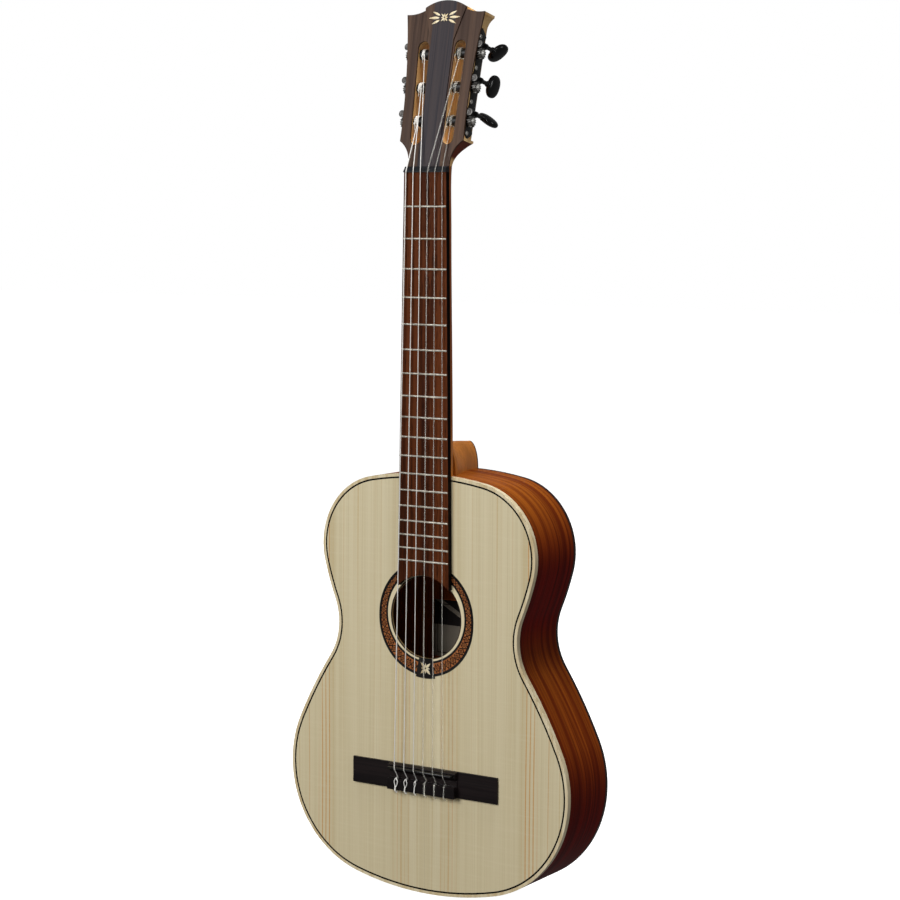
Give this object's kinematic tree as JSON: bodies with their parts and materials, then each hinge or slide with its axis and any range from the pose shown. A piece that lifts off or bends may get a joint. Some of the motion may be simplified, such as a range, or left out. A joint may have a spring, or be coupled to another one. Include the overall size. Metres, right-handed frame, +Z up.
{
  "type": "classical guitar",
  "caption": "Three-quarter size classical guitar with a hollow body, slotted headstock, worm-gear tuning machines and a tie bridge.",
  "frame": {"origin": "middle of the bounding box across and front to back, at the tail end of the body", "axes": "+Z up along the neck to the headstock, -Y out of the soundboard towards the player's audience, +X towards the treble side"},
  "size_m": [0.3232, 0.0904, 0.8706],
  "materials": {
    "spruce": "satin",
    "rosette": "satin",
    "plaque": "satin",
    "back_mahogany": "satin",
    "side_mahogany_bass": "satin",
    "side_mahogany_treble": "satin",
    "cream_binding": "satin",
    "black_purfling": "satin",
    "dark_binding": "satin",
    "lining_wood": "raw",
    "block_wood": "raw",
    "brace_spruce": "raw",
    "paper": "matt paper",
    "neck_mahogany": "satin",
    "head_wood": "satin",
    "headplate_wood": "satin",
    "fingerboard_wood": "satin",
    "fret_wire": "polished",
    "nut_black": "satin",
    "bridge_wood": "satin",
    "saddle_black": "satin",
    "bass_string": "wound",
    "treble_string": "clear nylon",
    "machine_black": "satin black",
    "screw_steel": "slotted",
    "gear_steel": "nickel",
    "worm_black": "satin black",
    "roller_black": "satin",
    "knob_black": "gloss"
  },
  "bodies": {
    "guitar": {"soundboard": "spruce", "rosette": "rosette", "rosette_plaque": "plaque", "back": "back_mahogany", "side_bass": "side_mahogany_bass", "side_treble": "side_mahogany_treble", "top_binding": "cream_binding", "top_purfling": "black_purfling", "back_binding": "dark_binding", "top_lining": "lining_wood", "back_lining": "lining_wood", "neck_block": "block_wood", "tail_block": "block_wood", "harmonic_bars": "brace_spruce", "fan_braces": "brace_spruce", "bridge_patch": "brace_spruce", "back_braces": "brace_spruce", "label": "paper", "neck": "neck_mahogany", "heel_cap": "dark_binding", "headstock": "head_wood", "headplate": "headplate_wood", "fingerboard": "fingerboard_wood", "frets": "fret_wire", "nut": "nut_black", "bridge": "bridge_wood", "saddle": "saddle_black", "string_e_low": "bass_string", "string_a": "bass_string", "string_d": "bass_string", "string_g": "treble_string", "string_b": "treble_string", "string_e_high": "treble_string", "tuner_plate_bass": "machine_black", "tuner_plate_treble": "machine_black", "plate_screws": "screw_steel"},
    "key_bass_1": {"worm_bass_1": "worm_black", "knob_bass_1": "knob_black"},
    "roller_bass_1": {"roller_bass_1": "roller_black", "gear_bass_1": "gear_steel"},
    "key_bass_2": {"worm_bass_2": "worm_black", "knob_bass_2": "knob_black"},
    "roller_bass_2": {"roller_bass_2": "roller_black", "gear_bass_2": "gear_steel"},
    "key_bass_3": {"worm_bass_3": "worm_black", "knob_bass_3": "knob_black"},
    "roller_bass_3": {"roller_bass_3": "roller_black", "gear_bass_3": "gear_steel"},
    "key_treble_1": {"worm_treble_1": "worm_black", "knob_treble_1": "knob_black"},
    "roller_treble_1": {"roller_treble_1": "roller_black", "gear_treble_1": "gear_steel"},
    "key_treble_2": {"worm_treble_2": "worm_black", "knob_treble_2": "knob_black"},
    "roller_treble_2": {"roller_treble_2": "roller_black", "gear_treble_2": "gear_steel"},
    "key_treble_3": {"worm_treble_3": "worm_black", "knob_treble_3": "knob_black"},
    "roller_treble_3": {"roller_treble_3": "roller_black", "gear_treble_3": "gear_steel"}
  },
  "joints": [
    {"name": "key_turn_bass_1", "type": "hinge", "parent": "guitar", "child": "key_bass_1", "pos_m": [-0.03862, -0.01523, 0.76149], "axis": [0, -0.9808, 0.1951], "continuous": true},
    {"name": "roller_turn_bass_1", "type": "hinge", "parent": "guitar", "child": "roller_bass_1", "pos_m": [-0.03363, -0.01672, 0.75396], "axis": [0.9993, 0.0073, 0.0365], "continuous": true},
    {"name": "key_turn_bass_2", "type": "hinge", "parent": "guitar", "child": "key_bass_2", "pos_m": [-0.03985, -0.00879, 0.79385], "axis": [0, -0.9808, 0.1951], "continuous": true},
    {"name": "roller_turn_bass_2", "type": "hinge", "parent": "guitar", "child": "roller_bass_2", "pos_m": [-0.03486, -0.01029, 0.78633], "axis": [0.9993, 0.0073, 0.0365], "continuous": true},
    {"name": "key_turn_bass_3", "type": "hinge", "parent": "guitar", "child": "key_bass_3", "pos_m": [-0.04108, -0.00235, 0.82622], "axis": [0, -0.9808, 0.1951], "continuous": true},
    {"name": "roller_turn_bass_3", "type": "hinge", "parent": "guitar", "child": "roller_bass_3", "pos_m": [-0.03609, -0.00385, 0.8187], "axis": [0.9993, 0.0073, 0.0365], "continuous": true},
    {"name": "key_turn_treble_1", "type": "hinge", "parent": "guitar", "child": "key_treble_1", "pos_m": [0.03862, -0.01523, 0.76149], "axis": [0, -0.9808, 0.1951], "continuous": true},
    {"name": "roller_turn_treble_1", "type": "hinge", "parent": "guitar", "child": "roller_treble_1", "pos_m": [0.03363, -0.01672, 0.75396], "axis": [0.9993, -0.0073, -0.0365], "continuous": true},
    {"name": "key_turn_treble_2", "type": "hinge", "parent": "guitar", "child": "key_treble_2", "pos_m": [0.03985, -0.00879, 0.79385], "axis": [0, -0.9808, 0.1951], "continuous": true},
    {"name": "roller_turn_treble_2", "type": "hinge", "parent": "guitar", "child": "roller_treble_2", "pos_m": [0.03486, -0.01029, 0.78633], "axis": [0.9993, -0.0073, -0.0365], "continuous": true},
    {"name": "key_turn_treble_3", "type": "hinge", "parent": "guitar", "child": "key_treble_3", "pos_m": [0.04108, -0.00235, 0.82622], "axis": [0, -0.9808, 0.1951], "continuous": true},
    {"name": "roller_turn_treble_3", "type": "hinge", "parent": "guitar", "child": "roller_treble_3", "pos_m": [0.03609, -0.00385, 0.8187], "axis": [0.9993, -0.0073, -0.0365], "continuous": true}
  ],
  "couplings": [
    {"joint": "roller_turn_bass_1", "follows": "key_turn_bass_1", "ratio": -0.071429},
    {"joint": "roller_turn_bass_2", "follows": "key_turn_bass_2", "ratio": -0.071429},
    {"joint": "roller_turn_bass_3", "follows": "key_turn_bass_3", "ratio": -0.071429},
    {"joint": "roller_turn_treble_1", "follows": "key_turn_treble_1", "ratio": -0.071429},
    {"joint": "roller_turn_treble_2", "follows": "key_turn_treble_2", "ratio": -0.071429},
    {"joint": "roller_turn_treble_3", "follows": "key_turn_treble_3", "ratio": -0.071429}
  ]
}
